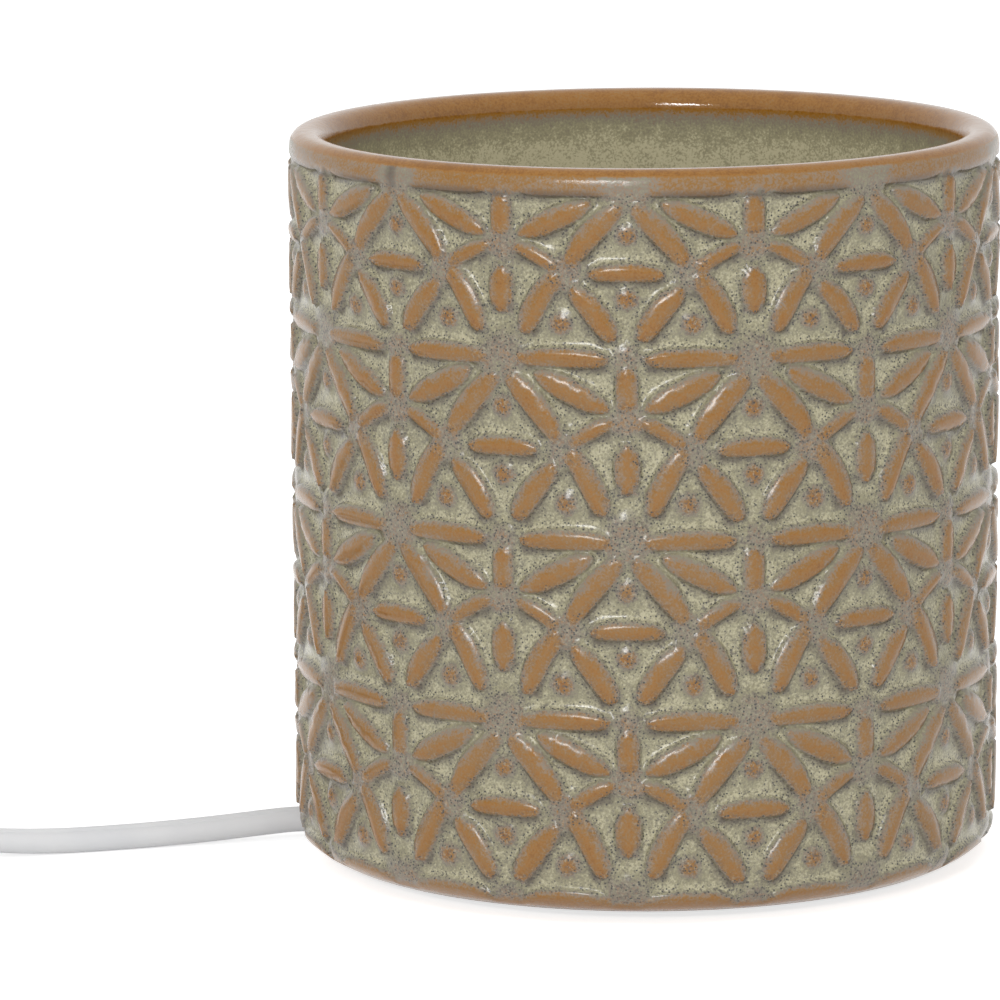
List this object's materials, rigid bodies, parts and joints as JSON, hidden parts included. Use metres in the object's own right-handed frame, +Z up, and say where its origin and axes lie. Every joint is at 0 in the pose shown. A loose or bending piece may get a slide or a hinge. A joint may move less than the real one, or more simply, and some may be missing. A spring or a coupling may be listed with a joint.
{
  "type": "wax melt warmer",
  "caption": "Electric wax melt warmer: glazed cylinder with an embossed star lattice, open well with a lift-out dish over a hot plate, flat cord with a rocker switch and a plug.",
  "frame": {"origin": "on the body's axis, at the table under its rubber feet", "axes": "+Z up along the body's axis, -Y towards the pictured side, the cord leaves the foot towards -X"},
  "size_m": [0.2783, 0.1358, 0.1185],
  "materials": {
    "body_glaze": "gloss reactive glaze, celadon in the hollows and amber on the edges",
    "dish_glaze": "gloss",
    "cast_aluminium": "fine cast, satin",
    "silicone": "matte",
    "mica": "silky sheet",
    "resistance_strip": "dull",
    "sheet_steel": "zinc plated",
    "turned_steel": "zinc plated",
    "rivet_aluminium": "satin",
    "fuse_case": "nickel plated",
    "black_moulding": "fine texture",
    "black_rubber": "matte",
    "white_rubber": "satin",
    "white_sheath": "satin",
    "glass_sleeve": "woven sleeve",
    "steatite": "fired, semi-matte",
    "terminal_brass": "drawn",
    "blade_brass": "stamped, bright",
    "white_moulding": "satin",
    "white_plug": "satin"
  },
  "bodies": {
    "warmer": {"ceramic_body": "body_glaze", "warming_plate": "cast_aluminium", "plate_gasket": "silicone", "mica_upper": "mica", "heating_element": "resistance_strip", "mica_lower": "mica", "clamp_plate": "sheet_steel", "thermal_fuse": "fuse_case", "fuse_clip": "sheet_steel", "fuse_rivets": "rivet_aluminium", "upper_pillars": "turned_steel", "heat_shield": "sheet_steel", "shield_grommet": "silicone", "lower_pillars": "turned_steel", "base_cover": "black_moulding", "base_screws": "turned_steel", "rubber_feet": "black_rubber", "strain_relief": "white_rubber", "inner_lead": "white_sheath", "core_tails": "white_sheath", "neutral_lead": "glass_sleeve", "live_lead": "glass_sleeve", "fuse_lead": "glass_sleeve", "terminal_block": "steatite", "terminal_brasses": "terminal_brass", "terminal_screws": "turned_steel", "block_screw": "turned_steel", "block_nut": "turned_steel", "power_cord": "white_sheath", "switch_base": "white_moulding", "switch_cover": "white_moulding", "switch_contacts": "terminal_brass", "switch_screws": "turned_steel", "cord_return": "white_sheath", "cord_coil": "white_sheath", "plug_body": "white_plug", "plug_blades": "blade_brass"},
    "dish": {"wax_dish": "dish_glaze"},
    "rocker": {"switch_rocker": "white_moulding", "contact_bridge": "terminal_brass"}
  },
  "joints": [
    {"name": "dish_lift", "type": "slide", "parent": "warmer", "child": "dish", "axis": [0, 0, 1], "range_m": [0, 0.06]},
    {"name": "rocker_tilt", "type": "hinge", "parent": "warmer", "child": "rocker", "pos_m": [-0.14577, -0.02494, 0.0116], "axis": [0.3907, -0.9205, 0], "range_deg": [0, 16]}
  ]
}
